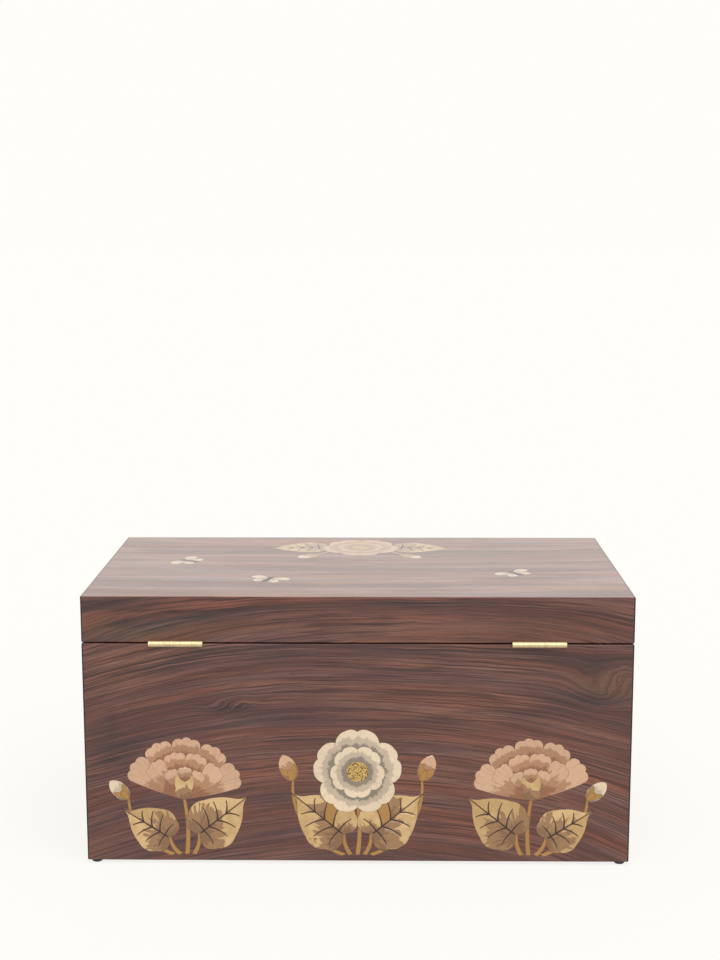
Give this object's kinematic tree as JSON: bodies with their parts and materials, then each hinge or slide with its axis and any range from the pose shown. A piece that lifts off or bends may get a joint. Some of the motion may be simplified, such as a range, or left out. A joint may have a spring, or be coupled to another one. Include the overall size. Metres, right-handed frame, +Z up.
{
  "type": "wooden trunk",
  "caption": "Rectangular dark wooden trunk with a back-hinged lid, flush flower inlay, brass butt hinges, sliding lid stays and small black glides.",
  "frame": {"origin": "on the floor, under the middle of the bounding box, hinge barrels included", "axes": "+Z up, +X to the right seen from the front, -Y the front; the hinges are on the back face, +Y"},
  "size_m": [0.914, 0.5055, 0.464],
  "materials": {
    "rosewood": "satin lacquer over open-pored dark rosewood",
    "plywood": "bare",
    "secondary_wood": "bare",
    "cream_inlay": "satin lacquer",
    "pink_inlay": "satin lacquer",
    "foliage_inlay": "satin lacquer",
    "dark_inlay": "satin lacquer",
    "hinge_brass": "brushed",
    "brass_screws": "plain",
    "stay_brass": "brushed",
    "steel": "plain",
    "black_plastic": "matt",
    "rubber": "matt"
  },
  "bodies": {
    "carcase": {"front_panel": "rosewood", "back_panel": "rosewood", "left_panel": "rosewood", "right_panel": "rosewood", "bottom_panel": "plywood", "corner_blocks": "secondary_wood", "carcase_corner_splines": "secondary_wood", "foot_front_left": "black_plastic", "foot_front_right": "black_plastic", "foot_back_left": "black_plastic", "foot_back_right": "black_plastic", "foot_screws": "steel", "rim_buffers": "rubber", "hinge_left_body_leaf": "hinge_brass", "hinge_right_body_leaf": "hinge_brass", "hinge_left_pin": "hinge_brass", "hinge_right_pin": "hinge_brass", "hinge_body_screws": "brass_screws", "stay_left_stud_plate": "stay_brass", "stay_right_stud_plate": "stay_brass", "stay_left_stud": "stay_brass", "stay_right_stud": "stay_brass", "stay_body_screws": "brass_screws", "front_inlay_cream": "cream_inlay", "front_inlay_pink": "pink_inlay", "front_inlay_foliage": "foliage_inlay", "front_inlay_dark": "dark_inlay", "back_inlay_cream": "cream_inlay", "back_inlay_pink": "pink_inlay", "back_inlay_foliage": "foliage_inlay", "back_inlay_dark": "dark_inlay", "left_inlay_cream": "cream_inlay", "left_inlay_pink": "pink_inlay", "left_inlay_foliage": "foliage_inlay", "left_inlay_dark": "dark_inlay", "right_inlay_cream": "cream_inlay", "right_inlay_pink": "pink_inlay", "right_inlay_foliage": "foliage_inlay", "right_inlay_dark": "dark_inlay"},
    "lid": {"lid_top_panel": "rosewood", "lid_front_rail": "rosewood", "lid_back_rail": "rosewood", "lid_left_rail": "rosewood", "lid_right_rail": "rosewood", "lid_corner_splines": "secondary_wood", "hinge_left_lid_leaf": "hinge_brass", "hinge_right_lid_leaf": "hinge_brass", "hinge_lid_screws": "brass_screws", "stay_left_bracket": "stay_brass", "stay_right_bracket": "stay_brass", "stay_left_pivot_pin": "stay_brass", "stay_right_pivot_pin": "stay_brass", "stay_lid_screws": "brass_screws", "lid_inlay_cream": "cream_inlay", "lid_inlay_pink": "pink_inlay", "lid_inlay_foliage": "foliage_inlay", "lid_inlay_dark": "dark_inlay"},
    "stay_left": {"stay_left_arm": "stay_brass"},
    "stay_right": {"stay_right_arm": "stay_brass"}
  },
  "joints": [
    {"name": "lid_hinge", "type": "hinge", "parent": "carcase", "child": "lid", "pos_m": [0, 0.24775, 0.385], "axis": [-1, 0, 0], "range_deg": [0, 96]},
    {"name": "stay_left_pivot", "type": "hinge", "parent": "lid", "child": "stay_left", "pos_m": [-0.43295, 0.08365, 0.40225], "axis": [-1, 0, 0], "range_deg": [-48, 0]},
    {"name": "stay_right_pivot", "type": "hinge", "parent": "lid", "child": "stay_right", "pos_m": [0.43295, 0.08365, 0.40225], "axis": [-1, 0, 0], "range_deg": [-48, 0]}
  ],
  "couplings": [
    {"joint": "stay_left_pivot", "follows": "lid_hinge", "ratio": -0.5},
    {"joint": "stay_right_pivot", "follows": "lid_hinge", "ratio": -0.5}
  ]
}
